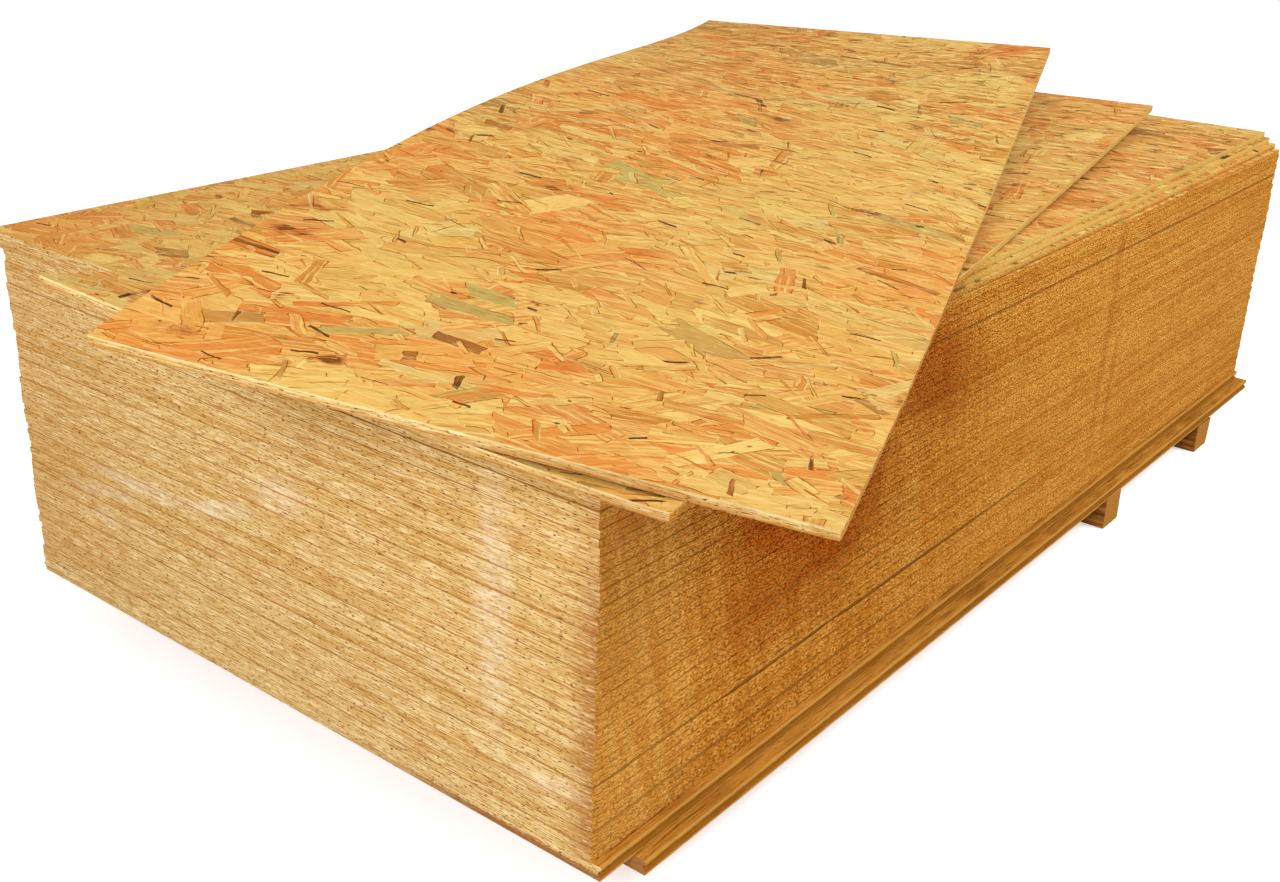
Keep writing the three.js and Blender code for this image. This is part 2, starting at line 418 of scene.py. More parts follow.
def softPatchGroup():
    pen, take = newGroup("softPatch", dict(Vector="Place Centre Reach", Float="Turn Ragged Share"),
                         dict(Float="Mask"))
    away = pen.turn(pen.vector("SUBTRACT", take["Place"], take["Centre"]), take["Turn"])
    far = pen.calc("ADD", pen.vector("LENGTH", pen.vector("DIVIDE", away, take["Reach"])), take["Ragged"])
    return pen.finish(Mask=pen.rise(far, *patchRim, 0.0, take["Share"]))


softPatch = softPatchGroup()


def placePatches(pen, place, noise, patches, ragged):
    moved = pen.times(noise, ragged, -ragged / 2)
    total = 0.0
    for centre, reach, turn, share in patches:
        mask = pen.group(softPatch, Place=place, Centre=(*centre, 0.0), Reach=(*reach, 1.0),
                         Turn=math.radians(turn), Ragged=moved, Share=share)
        total = pen.calc("MAXIMUM", total, mask["Mask"])
    return total


# A sawn edge shows the strands from the side. On the ends they are long pale
# streaks with a few specks, and a faint broken line beside each face. The long
# sides are amber, with a row of dark dashes beside each face. A pair holds the
# ends' value and the sides'; noise scales are along and up.
edgeLook = dict(
    tones=([(0.26, "bf9650"), (0.42, "cba866"), (0.56, "d5b678"), (0.74, "e1c892")],
           [(0.28, "bb771e"), (0.46, "c9892e"), (0.60, "d4973c"), (0.76, "e0ad52")]),
    pale=("f0dcae", "edbd6a"), dark=("b07e42", "743f0a"), line=("8a6a3a", "5c3206"),
    rust="a8531c", halo="9e5a1a", speck="602a06", gap="481e04",
    apart=3.17, noiseRough=0.6, streak=((9.0, 430.0), (26.0, 290.0)), fine=((27.0, 640.0), (150.0, 560.0)),
    dots=((105.0, 520.0), (190.0, 520.0)), paleFrom=(0.55, 0.70, 0.0, 0.75), darkFrom=(0.45, 0.30, 0.0, 0.8),
    rustFrom=(0.68, 0.74), rustShare=(0.7, 0.15), speckFrom=0.68, sideSpeckFrom=(0.3, 1.6, 0.58, 0.625),
    speckRim=0.05, haloShare=0.5, speckShare=0.9, rowApart=3.1, faceApart=0.4, lineScale=(11.0, 60.0),
    lineFrom=(0.65, 0.70), lineBreak=(-0.30, -0.50), lineRim=0.05, lineShare=0.35,
    sideLineShare=(1.3, 0.6, 0.3, 1.0), gapFrom=(0.28, 0.38), speckHeight=-0.4, streakHeight=0.6,
    rough=(0.88, 0.72))


def sawnEdgeGroup():
    pen, take = newGroup("sawnEdge", dict(Float="Along Up Seed Thick OnEnd Gap"),
                         dict(Color="Color", Float="Height Roughness"))
    look, onEnd, along = edgeLook, take["OnEnd"], take["Along"]
    place = pen.join(pen.times(take["Seed"], look["apart"], along), take["Up"])

    def layer(name, detail, give="Fac"):
        end, side = look[name]
        scale = pen.mix(onEnd, (*side, 0.0), (*end, 0.0), "VECTOR")
        return pen.noise(pen.vector("MULTIPLY", place, scale), detail, look["noiseRough"], give=give)

    def either(name):
        end, side = look[name]
        return pen.mix(onEnd, side, end, "RGBA" if isinstance(end, str) else "FLOAT")

    streak, fine, dots = layer("streak", 3.0), pen.split(layer("fine", 1.0, "Color")), layer("dots", 1.0)
    endTones, sideTones = look["tones"]
    base = pen.mix(onEnd, pen.ramp(streak, sideTones), pen.ramp(streak, endTones), "RGBA")
    base = pen.lay(base, either("pale"), pen.rise(fine[0], *look["paleFrom"]))
    base = pen.lay(base, either("dark"), pen.rise(fine[0], *look["darkFrom"]))
    base = pen.lay(base, look["rust"], pen.rise(fine[2], *look["rustFrom"], 0.0, either("rustShare")))
    # Specks, each dark in a browner ring. On the sides they thin out along the panel.
    low = pen.mix(onEnd, pen.rise(along, *look["sideSpeckFrom"]), look["speckFrom"])
    halo = pen.rise(dots, pen.calc("SUBTRACT", low, look["speckRim"]), low, 0.0, look["haloShare"])
    specks = pen.rise(dots, low, pen.calc("ADD", low, look["speckRim"]))
    base = pen.lay(base, look["halo"], halo)
    base = pen.lay(base, look["speck"], specks, look["speckShare"])
    # Lines beside the faces, broken by noise. On the sides they fade along the panel.
    part = pen.calc("DIVIDE", take["Up"], take["Thick"])
    upper = pen.calc("GREATER_THAN", part, 0.5)
    row = pen.times(take["Seed"], look["rowApart"], pen.times(upper, look["faceApart"]))
    breaks = pen.noise(pen.join(pen.times(along, either("lineScale")), row), 2.0)
    fromMid = pen.calc("ABSOLUTE", pen.calc("SUBTRACT", part, 0.5))
    start = pen.times(breaks, either("lineBreak"), either("lineFrom"))
    line = pen.rise(fromMid, start, pen.calc("ADD", start, look["lineRim"]))
    strength = pen.mix(onEnd, pen.rise(along, *look["sideLineShare"]), look["lineShare"])
    base = pen.lay(base, either("line"), line, strength)
    # Painted shade in the open gaps between packs, beside the faces.
    base = pen.lay(base, look["gap"], take["Gap"], pen.rise(fromMid, *look["gapFrom"]))
    relief = pen.times(specks, look["speckHeight"], pen.times(streak, look["streakHeight"]))
    return pen.finish(Color=base, Height=relief, Roughness=pen.mix(streak, *look["rough"]))


sawnEdge = sawnEdgeGroup()

# Strand faces, metres: the pattern lies on the flat sheet, before it bends, and
# grows along it, place / (1 + growth x distance along it). The underside has its
# own strands. Flecks get stronger along the sheet, and in the stack the rims of the
# faces get painted shade, brown, where they show in the joints between panels.
faceLook = dict(growth=0.24, middle=0.42, lastStacked=114.0, underside=(0.004, 0.006, 40.0, 0.0),
                fleckScale=(130.0, 26.0, 1.0), fleckAlong=(0.0, 2.2, 0.25, 0.9), fleck="80561e",
                fleckFrom=(0.59, 0.70), pale="ecd68a", paleFrom=(0.43, 0.29, 0.0, 0.75), endJointShade="caa05e",
                sideJointShade="a8701e", jointShadeFrom=(0.005, 0.003, 0.0, 0.75), bump=0.55)


def faceMaterial():
    look = faceLook
    material, pen = newMaterial("osbStrandFace")
    x, y, z = pen.split(pen.attribute("sheetPlace")["Vector"])
    seed = pen.attribute("sheetSeed")["Fac"]
    larger = pen.calc("DIVIDE", 1.0, pen.times(x, look["growth"], 1.0))
    plane = pen.vector("SCALE", pen.join(x, pen.calc("SUBTRACT", y, look["middle"])), scale=larger)
    face = pen.group(strandFace, Plane=plane, Seed=pen.calc("ADD", seed, pen.rise(z, *look["underside"])))
    fleck = pen.noise(pen.vector("MULTIPLY", plane, look["fleckScale"]), 3.0, 0.6)
    more = pen.rise(x, *look["fleckAlong"])
    base = pen.mark(pen.mark(face["Color"], look, "fleck", fleck, more), look, "pale", fleck, more)
    inStack = pen.calc("LESS_THAN", seed, look["lastStacked"])
    # Painted shade: in the stack, face rims that show in the joints between panels are darkened brown.
    for place, colour in ((x, look["endJointShade"]), (y, look["sideJointShade"])):
        base = pen.lay(base, colour, inStack, pen.rise(place, *look["jointShadeFrom"]))
    finishWood(pen, base, face["Roughness"], face["Height"], look["bump"])
    return material


# Marks on the stack as a whole, metres from its front right bottom corner: centre,
# reach, turn in degrees and strength. On the front (y, z) pale scuffs, and on the
# right (x, z) brown stain with painted shade under the overhanging sheets.
frontScuffs = [((0.90, 0.230), (0.15, 0.014), 2, 0.9), ((0.71, 0.256), (0.10, 0.016), 16, 0.9),
               ((1.01, 0.190), (0.12, 0.014), 8, 0.7), ((1.01, 0.146), (0.04, 0.014), 0, 0.7),
               ((0.57, 0.325), (0.055, 0.034), 14, 0.8), ((0.165, 0.30), (0.034, 0.21), 0, 0.75),
               ((0.07, 0.088), (0.08, 0.018), 6, 0.6)]
# Painted shade: the first three right-side patches are brown stain that also stands in for the shade under
# the overhanging sheets, the fourth is a painted shadow under the lower loose sheet's edge, and the last two
# are dark streaks.
sideStainsAndShade = [((0.47, 0.34), (0.26, 0.17), 14, 1.0), ((0.38, 0.25), (0.16, 0.10), 10, 0.7),
              ((0.76, 0.45), (0.26, 0.10), 18, 0.8), ((0.11, 0.475), (0.17, 0.045), -14, 0.8),
              ((1.51, 0.33), (0.016, 0.28), 0, 0.35), ((1.57, 0.20), (0.012, 0.12), 0, 0.4)]
# Each panel is a little lighter or darker than the next, changing along it. Loose
# sheets have a painted highlight along the upper arris, over an edge that is
# browner towards the underside.
panelLook = dict(facing=0.6, thick=0.011, apart=3.1, ownScale=1.3,
                 tones=[(0.3, "efe2cc"), (0.5, "fbf8f2"), (0.7, "ffffff")], gapShare=(0.30, 0.42, 0.8, 1.0),
                 firstLoose=250.0, low="a8702c", lowFrom=(0.005, 0.001, 0.0, 0.6), top="ecd798",
                 topFrom=(0.0075, 0.010, 0.0, 0.6), bump=0.45)
# Front: scuffs broken into dabs along the panels, a worn brown corner and a
# browner left end.
frontLook = dict(dabScale=(20.0, 30.0, 150.0), ragged=1.2, scuff="f6e9d2", scuffShare=0.62,
                 scuffFrom=(0.40, 0.66, 0.15, 1.0), worn="965620", wornRagged=0.09, wornFrom=(0.050, 0.005),
                 wornBelow=(0.50, 0.30, 0.35, 1.0), wornDabs=(0.36, 0.56, 0.15, 0.8), left="b87434",
                 leftFrom=(0.80, 1.20, 0.0, 0.22))
# Right side: cloud, stain with painted shade, a paler corner, slanting saw bands
# that end along the panel, and pale edges on the topmost panels.
sideLook = dict(cloudScale=(5.0, 5.0, 9.0), cloud="ecd29c", cloudFrom=(0.42, 0.64, 0.0, 0.35), ragged=1.4,
                stainAndShade="d09a4c", pale="d8a858", paleFrom=(0.30, 0.05, 0.0, 0.3), slant=0.22,
                bandScale=(34.0, 2.5, 1.0), band="eedcb4", bandFrom=(0.62, 0.40, 0.0, 0.6),
                bandUntil=(1.5, 0.6), top="d8be68", topFrom=(0.543, 0.558), topAlong=(0.7, 1.1),
                topShare=0.65)


def edgeMaterial():
    material, pen = newMaterial("osbSawnEdge")
    x, y, z = pen.split(pen.attribute("sheetPlace")["Vector"])
    seed = pen.attribute("sheetSeed")["Fac"]
    faces = pen.facing()
    onEnd = pen.calc("GREATER_THAN", pen.calc("ABSOLUTE", faces[0]), pen.calc("ABSOLUTE", faces[1]))
    spot = pen.vector("SUBTRACT", pen.add("ShaderNodeTexCoord").outputs["Object"], tuple(corner))
    sx, sy, sz = pen.split(spot)
    along = pen.mix(onEnd, x, y)

    look = panelLook
    row = pen.join(pen.times(seed, look["apart"]), pen.times(along, look["ownScale"]))
    own = pen.noise(row, 1.0)
    gap = pen.times(pen.attribute("sheetGapShade")["Fac"], pen.rise(own, *look["gapShare"]))
    edge = pen.group(sawnEdge, Along=along, Up=z, Seed=seed, Thick=look["thick"], Gap=gap, OnEnd=onEnd)
    base = pen.lay(edge["Color"], pen.ramp(own, look["tones"]), 1.0, way="MULTIPLY")
    loose = pen.calc("GREATER_THAN", seed, look["firstLoose"])
    # Loose sheets: the edge is browner towards the underside, and a painted highlight runs along the upper
    # arris.
    base = pen.mark(pen.mark(base, look, "low", z, loose), look, "top", z, loose)

    look = frontLook
    onFront = pen.calc("LESS_THAN", faces[0], -panelLook["facing"])
    dabs = pen.noise(pen.vector("MULTIPLY", spot, look["dabScale"]), 3.0, 0.65, "3D")
    scuffs = placePatches(pen, pen.join(sy, sz), dabs, frontScuffs, look["ragged"])
    base = pen.mark(base, look, "scuff", dabs, scuffs, onFront, look["scuffShare"])
    inward = pen.calc("ADD", pen.times(dabs, look["wornRagged"], -look["wornRagged"] / 2), sy)
    base = pen.mark(base, look, "worn", inward, pen.rise(sz, *look["wornBelow"]),
                    pen.rise(dabs, *look["wornDabs"]), onFront)
    base = pen.mark(base, look, "left", sy, onFront)

    look = sideLook
    onSide = pen.calc("LESS_THAN", faces[1], -panelLook["facing"])
    cloud = pen.noise(pen.vector("MULTIPLY", spot, look["cloudScale"]), 2.0, 0.5, "3D")
    base = pen.mark(base, look, "cloud", cloud, onSide, way="MULTIPLY")
    shadeAndStains = placePatches(pen, pen.join(sx, sz), cloud, sideStainsAndShade, look["ragged"])
    # Brown stain with painted shade under the overhanging sheets.
    base = pen.lay(base, look["stainAndShade"], shadeAndStains, onSide, way="MULTIPLY")
    base = pen.mark(base, look, "pale", sx, onSide)
    slant = pen.join(pen.times(sz, look["slant"], sx), sz)
    band = pen.noise(pen.vector("MULTIPLY", slant, look["bandScale"]), 1.0)
    base = pen.mark(base, look, "band", band, pen.rise(sx, *look["bandUntil"]), onSide, way="MULTIPLY")
    base = pen.mark(base, look, "top", sz, pen.rise(sx, *look["topAlong"]), onSide, look["topShare"])
    finishWood(pen, base, edge["Roughness"], edge["Height"], panelLook["bump"])
    return material


osbFace, osbEdge = faceMaterial(), edgeMaterial()

# Rough wood: fibre noise drawn out along one axis, broad patches and specks.
roughLook = dict(patchScale=9.0, speckScale=(3.0, 3.0, 3.0), midFrom=(0.30, 0.52), lightFrom=(0.52, 0.72),
                 patchFrom=(0.45, 0.7, 0.0, 0.5), speck="3f220b", speckFrom=(0.60, 0.72, 0.0, 0.7),
                 speckHeight=0.4)


def roughWoodGroup():
    pen, take = newGroup("roughWood", dict(Vector="Place Spot", Color="Dark Mid Light"),
                         dict(Color="Color", Float="Height"))
    look = roughLook
    fibre = pen.noise(take["Place"], 4.0, 0.6, "3D")
    patch = pen.noise(take["Spot"], 3.0, 0.5, "3D", scale=look["patchScale"])
    speck = pen.noise(pen.vector("MULTIPLY", take["Place"], look["speckScale"]), 2.0, 0.5, "3D")
    base = pen.lay(take["Dark"], take["Mid"], pen.rise(fibre, *look["midFrom"]))
    base = pen.lay(base, take["Light"], pen.rise(fibre, *look["lightFrom"]))
    base = pen.lay(base, take["Dark"], pen.rise(patch, *look["patchFrom"]))
    return pen.finish(Color=pen.mark(base, look, "speck", speck),
                      Height=pen.times(speck, look["speckHeight"], fibre))


roughWood = roughWoodGroup()


def placeWood(pen, look, place):
    drawnOut = pen.vector("MULTIPLY", place, look["fibreScale"])
    return pen.group(roughWood, Place=drawnOut, Spot=place, Dark=look["dark"], Mid=look["mid"],
                     Light=look["light"])


# Carrier boards, metres: the groove's inside is darkened with painted shade and its
# worn lips are pale. The sawn ends look like the panels' ends, darker along the underside.
boardLook = dict(fibreScale=(14.0, 260.0, 260.0), dark="7e4a14", mid="b47a2e", light="c68e3e",
                 fuzzScale=(60.0, 200.0, 200.0), fuzzReach=0.005, share=0.8, thick=0.022, lip="b8893f",
                 lipFrom=(0.0062, 0.0082), lipDepth=(0.004, 0.001), groove="8e5816",
                 grooveFrom=(0.0072, 0.0052), grooveDepth=(0.012, 0.008), endSeed=77.0, end="84481a",
                 endFuzz=0.012, endLow=(0.019, 0.013), endAcross=(0.50, 0.15, 0.2, 1.0), lowerBoard=-0.0225,
                 facing=0.7, rough=0.8, bump=0.7)


def boardMaterial():
    look = boardLook
    material, pen = newMaterial("carrierBoardWood")
    place = pen.attribute("boardPlace")["Vector"]
    y, z = pen.split(place)[1:]
    wood = placeWood(pen, look, place)
    fuzz = pen.noise(pen.vector("MULTIPLY", place, look["fuzzScale"]), 3.0, 0.6, "3D")
    fromMid = pen.calc("ABSOLUTE", pen.calc("SUBTRACT", z, look["thick"] / 2))
    moved = pen.times(fuzz, look["fuzzReach"], -look["fuzzReach"] / 2)
    reach = pen.calc("ADD", moved, fromMid)
    base = wood["Color"]
    # Pale lips, and painted shade darkening the inside of the groove.
    for name in ("lip", "groove"):
        base = pen.mark(base, look, name, reach, pen.rise(y, *look[name + "Depth"]), look["share"])
    facing = pen.calc("ABSOLUTE", pen.facing()[0])
    end = pen.group(sawnEdge, Along=y, Up=z, Seed=look["endSeed"], Thick=look["thick"], Gap=0.0, OnEnd=1.0)
    level = pen.calc("SUBTRACT", pen.split(pen.add("ShaderNodeTexCoord").outputs["Object"])[2], corner[2])
    ragged = pen.times(fuzz, look["endFuzz"], z)
    low = pen.times(pen.rise(ragged, *look["endLow"]), pen.rise(y, *look["endAcross"]))
    low = pen.calc("MAXIMUM", low, pen.calc("LESS_THAN", level, look["lowerBoard"]))
    sawn = pen.lay(end["Color"], look["end"], low, look["share"])
    base = pen.lay(base, sawn, pen.calc("GREATER_THAN", facing, look["facing"]))
    finishWood(pen, base, look["rough"], wood["Height"], look["bump"])
    return material


# Bearers, metres: on the ends, growth rings round a heart below the bearer's own
# middle, sin(closeness x distance from the heart + wobble x relief).
bearerLook = dict(fibreScale=(9.0, 170.0, 170.0), dark="5a3110", mid="8f5a24", light="b98042",
                  heart=(0.03, 0.055), closeness=1900.0, wobble=3.0, ringFrom=(-0.6, 0.8), end="c08a3c",
                  ring="8f5a20", endShare=0.85, facing=0.7, rough=0.85, bump=0.7)


def bearerMaterial():
    look = bearerLook
    material, pen = newMaterial("bearerTimber")
    place = pen.attribute("bearerPlace")["Vector"]
    seed = pen.attribute("bearerSeed")["Fac"]
    facing = pen.calc("ABSOLUTE", pen.facing()[1])
    wood = placeWood(pen, look, pen.vector("ADD", place, pen.join(seed)))
    fromHeart = pen.vector("MULTIPLY_ADD", place, (0.0, 1.0, 1.0), (0.0, *look["heart"]))
    wobble = pen.times(wood["Height"], look["wobble"])
    wave = pen.calc("SINE", pen.times(pen.vector("LENGTH", fromHeart), look["closeness"], wobble))
    rings = pen.lay(look["end"], look["ring"], pen.rise(wave, *look["ringFrom"]))
    onEnd = pen.calc("GREATER_THAN", facing, look["facing"])
    base = pen.lay(wood["Color"], rings, onEnd, look["endShare"])
    finishWood(pen, base, look["rough"], wood["Height"], look["bump"])
    return material


boardWood, bearerTimber = boardMaterial(), bearerMaterial()
print("finishes made: strand faces, sawn edges, carrier boards, bearers")


# Where a CAD sheet or board lies: near bottom corner, directions along and
# across it, and its length, width and thickness, read from its own vertices.
def layOf(name):
    spots = np.empty(len(nodes[name].data.vertices) * 3, np.float32)
    nodes[name].data.vertices.foreach_get("co", spots)
    spots = spots.reshape(-1, 3).astype(float)
    add, less = spots[:, 0] + spots[:, 1], spots[:, 0] - spots[:, 1]
    near = spots[add < add.min() + 1e-5]
    start = near[near[:, 2].argmin()]
    along = spots[less.argmax(), :2] - start[:2]
    across = spots[less.argmin(), :2] - start[:2]
    length, width = np.hypot(*along), np.hypot(*across)
    return start, along / length, across / width, length * 1000, width * 1000, np.ptp(near[:, 2]) * 1000


# Flat frame in millimetres to metres in the stack: start + s x along
# + t x across, and straight up by the height.
def setDown(lay, s, t, height):
    start, along, across = lay[:3]
    flat = start[:2] + (s[..., None] * along + t[..., None] * across) / 1000
    return np.concatenate([flat, (start[2] + height / 1000)[..., None]], -1)


# A walk round a rectangle in equal steps, front right corner first, and the
# outward direction at each stop, which has two signs at a corner.
def walkRim(length, width, step):
    alongCount, acrossCount = round(length / step), round(width / step)
    ends, sides = np.zeros(acrossCount), np.zeros(alongCount)
    s = np.concatenate([np.linspace(0, length, alongCount, False), ends + length,
                        np.linspace(length, 0, alongCount, False), ends])
    t = np.concatenate([sides, np.linspace(0, width, acrossCount, False), sides + width,
                        np.linspace(width, 0, acrossCount, False)])
    return s, t, (s == length) * 1.0 - (s == 0), (t == width) * 1.0 - (t == 0)


# Sawn sheet, millimetres. Rings spread from the middle line of the underside to
# the rim, middle + f x (rim - middle), climb the sawn edge as rim - outward x wear,
# and close on the middle line of the top. Wear is a slow wander, small bites,
# chips at both arrises and blunted corners.
rimWear = dict(step=12.0, wander=0.18, wanderRun=7, corner=1.3, cornerLeast=0.2, cornerReach=7, bite=0.22,
               biteRun=1.5, arris=0.2, chip=2.2, chipFrom=0.62, chipRuns=(2.2, 6), chipSlow=0.4, shoulder=0.7,
               shoulderIn=0.6, shoulderDrop=0.9, openFull=1.15, openFade=1300, openRough=0.3, openRun=4,
               land=5.0)


def sheetRings(length, width, thick, dice, spread, openLow, openTop):
    wear = rimWear
    s, t, outS, outT = walkRim(length, width, wear["step"])
    count = len(s)
    zero = np.zeros(count)
    middleS, middleT = np.clip(s, width / 2, length - width / 2), zero + width / 2
    nearCorner = np.exp(-np.hypot(np.minimum(s, length - s), np.minimum(t, width - t)) / wear["cornerReach"])

    def swing(name):
        return 1 + loopNoise(dice, count, wear[name])

    base = wear["wander"] * swing("wanderRun")
    base = base + wear["corner"] * dice.uniform(wear["cornerLeast"], 1) * nearCorner
    groove = (t == 0) * np.clip(wear["openFull"] - s / wear["openFade"], 0, 1)
    groove = groove * (1 + wear["openRough"] * loopNoise(dice, count, wear["openRun"]))
    low, top = (chips(dice, count, wear) + share * groove for share in (openLow, openTop))
    middle, *shoulders = (wear["bite"] * swing("biteRun") + worn for worn in (
        0, wear["shoulderIn"] * low, wear["shoulderIn"] * top))
    lowUp, topDown = (wear["shoulder"] + wear["shoulderDrop"] * worn for worn in (low, top))
    edge = [(low + wear["arris"], zero), (shoulders[0], lowUp), (middle, zero + thick / 2),
            (shoulders[1], thick - topDown), (top + wear["arris"], zero + thick)]
    face = [(middleS + f * (s - middleS), middleT + f * (t - middleT)) for f in spread]
    face.append((s - outS * wear["land"], t - outT * wear["land"]))
    rows = [(*spot, zero) for spot in face]
    rows += [(s - outS * (base + inset), t - outT * (base + inset), height) for inset, height in edge]
    rows += [(*spot, zero + thick) for spot in face[::-1]]
    return np.stack([np.stack(row, -1) for row in rows]), len(face)


# Strength of a dark line of painted shade in a gap, full in its middle and fading
# over the last third of each half: line x (3 - 3 |s - middle| / half), kept
# between 0 and line.
def gapLine(gap, s):
    mid, half = (gap["start"] + gap["end"]) / 2, (gap["end"] - gap["start"]) / 2
    return gap["line"] * np.clip(3 - 3 * np.abs(s - mid) / half, 0, 1)


# A gap's line of painted shade shows on what lies within a band of the panel's
# face, along its right side.
gapBand = dict(height=1.8, side=8)
shut = dict(open=0.0, line=0.0, start=-1, end=1)


def makeSheet(node, seed, spread, lift=None, below=shut, above=shut):
    lay = layOf(node)
    dice = np.random.default_rng(int(seed * 100))
    rings, lowFaces = sheetRings(*lay[3:], dice, spread, below["open"], above["open"])
    first, triangles, band = knitRings(rings)
    spots = rings.reshape(-1, 3)[first]
    s, t, height = spots.T
    raised = height + (lift(s, t) if lift else 0)
    onEdge = (band >= lowFaces) & (band < len(rings) - lowFaces - 1)
    line = (height < gapBand["height"]) * gapLine(below, s)
    line = line + (height > lay[5] - gapBand["height"]) * gapLine(above, s)
    piece = makePiece(f"osb_{node}", setDown(lay, s, t, raised), triangles, onEdge, [osbFace, osbEdge],
                      {"sheetPlace": spots / 1000, "sheetSeed": np.full(len(spots), float(seed)),
                       "sheetGapShade": line * (t < gapBand["side"])})
    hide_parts(node)
    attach(piece, "root")


# Panels of the stack. Between the packs the arrises are worn back, in mm, and a
# dark line of painted shade in the gap shows along the right side, from start to end.
openGaps = {4: dict(open=0.3, line=0.6, start=-950, end=950),
            10: dict(open=1.1, line=1.0, start=-1400, end=1400),
            43: dict(open=0.25, line=0.5, start=600, end=2900)}
seedStep = 2.37
for i, node in enumerate(panelNames, 1):
    below, above = openGaps.get(i - 1, shut), openGaps.get(i, shut)
    makeSheet(node, seedStep * i + 1, [0.0], below=below, above=above)
print("panels made:", len(panelNames))

# Loose sheets, millimetres, with s along the sheet and t across it:
# lift = rise x share^bowPower, share being how far s is past the flat part,
#      + (t / width)^acrossPower x (1 - s / springAlong)^fall x (spring + swell x s / length)
looseSize = dict(length=2440, width=840)
looseSpread = [0.0, 0.12, 0.25, 0.4, 0.55, 0.7, 0.85, 0.95]
looseSheets = {
    "loose_sheet_lower": dict(flat=900, rise=37.6, bowPower=1.5, spring=92, swell=0, springAlong=800,
                              fall=2, acrossPower=1.3, seed=301.0),
    "loose_sheet_upper": dict(flat=300, rise=141.4, bowPower=1.3, spring=76, swell=480, springAlong=2440,
                              fall=1.5, acrossPower=1, seed=318.0),
}


def sheetLift(bend):
    length, width = looseSize["length"], looseSize["width"]

    def lift(s, t):
        bow = np.clip((s - bend["flat"]) / (length - bend["flat"]), 0, None) ** bend["bowPower"]
        fade = np.clip(1 - s / bend["springAlong"], 0, None) ** bend["fall"]
        tilt = np.clip(t / width, 0, 1) ** bend["acrossPower"]
        return bend["rise"] * bow + tilt * fade * (bend["spring"] + bend["swell"] * s / length)
    return lift


for node, bend in looseSheets.items():
    makeSheet(node, bend["seed"], looseSpread, lift=sheetLift(bend))
print("loose sheets made:", len(looseSheets))


# A closed section in y and z carried along x, or in x and z along y, with the
# first and the last ring drawn in to a middle point so that the ends close.
def carrySection(section, length, step):
    centre = (section.min(0) + section.max(0)) / 2
    stops = np.linspace(0, length, round(length / step))
    shares = np.concatenate([[0.0], np.ones(len(stops)), [0.0]])
    stops = np.concatenate([stops[:1], stops, stops[-1:]])
    rings = centre + shares[:, None, None] * (section - centre)
    return np.broadcast_to(stops[:, None], rings.shape[:2]), rings[..., 0], rings[..., 1]


def arc(cy, cz, radius, start, end, count):
    angle = np.radians(np.linspace(start, end, count))
    return np.stack([cy + radius * np.cos(angle), cz + radius * np.sin(angle)], -1)


# Carrier boards, millimetres: round groove in the right edge, round tongue in
# the left one, lips worn back by noise and chipped here and there.
boardShape = dict(width=1230, thick=22, groove=4.5, tongue=4.0, arris=1.0, insets=(1.2, 12, 60), lip=3.5,
                  step=9.0, wear=0.5, wearRun=2, chip=3.0, chipFrom=0.95, chipRuns=(2.5, 8), chipSlow=0.5,
                  rim=6, endWear=0.8, endShift=3, crease=40,
                  lengths={"carrier_board_lower": 2390, "carrier_board_upper": 2440})


def boardSection():
    shape = boardShape
    w, h, mid, arris, lip = shape["width"], shape["thick"], shape["thick"] / 2, shape["arris"], shape["lip"]
    inner = [*shape["insets"], w / 2, *(w - y for y in shape["insets"][::-1])]
    return np.concatenate([
        [[0.0, arris], *[[y, 0.0] for y in inner], [w, arris], [w, lip]],
        arc(w, mid, shape["tongue"], -90, 90, 9),
        [[w, h - lip], [w, h - arris], *[[y, h] for y in inner[::-1]], [0.0, h - arris], [0.0, h - lip]],
        arc(0, mid, shape["groove"], 90, -90, 11), [[0.0, lip]]])


def makeBoard(node, seed):
    shape, lay = boardShape, layOf(node)
    length, w = shape["lengths"][node], shape["width"]
    dice = np.random.default_rng(seed)
    x, y, z = carrySection(boardSection(), length, shape["step"])
    rows, count = x.shape

    worn = np.zeros((rows, count))
    for k in range(count):
        worn[:, k] = chips(dice, rows, shape)
        worn[:, k] += shape["wear"] * (1 + loopNoise(dice, rows, shape["wearRun"])) / 2
    y = y + worn * ((y < shape["rim"]) * 1.0 - (y > w - shape["rim"]))
    ends = worn.mean(1, keepdims=True) + shape["endWear"] * np.abs(np.roll(worn, shape["endShift"], axis=1))
    x = x + ends * ((x < 1) * 1.0 - (x > length - 1))
    rings = np.stack([x, y, z], -1)
    rings[0], rings[-1] = rings[0, 0], rings[-1, 0]
    first, triangles = knitRings(rings)[:2]
    spots = rings.reshape(-1, 3)[first]
    piece = makePiece(f"grooved_{node}", setDown(lay, *spots.T), triangles, np.zeros(len(triangles)),
                      [boardWood], {"boardPlace": spots / 1000}, crease=shape["crease"])
    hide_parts(node)
    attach(piece, "root")


for seed, node in enumerate(boardShape["lengths"], 71):
    makeBoard(node, seed)
print("carrier boards made:", len(boardShape["lengths"]))

# Bearers, millimetres: a sawn rectangle with eased long edges, each strip of its
# sides pushed in by saw wander, and ends a little out of square.
bearerShape = dict(height=66, width=78, ease=3.0, strips=6, step=18.0, saw=0.7, slow=0.6, slowRun=9,
                   quick=0.4, quickRun=2, rim=4, topShare=0.3, end=1.6, endWave=2.1, crease=40)


def bearerSection():
    w, h, c, n = bearerShape["width"] / 2, bearerShape["height"], bearerShape["ease"], bearerShape["strips"]
    corners = [(-w + c, 0), (w - c, 0), (w, c), (w, h - c), (w - c, h), (-w + c, h), (-w, h - c), (-w, c)]
    sides = []
    for k, (start, end) in enumerate(zip(corners, corners[1:] + corners[:1])):
        steps = np.linspace(0, 1, n if k % 2 == 0 else 2, False)[:, None]
        sides.append(np.array(start) + steps * (np.array(end) - np.array(start)))
    return np.concatenate(sides)


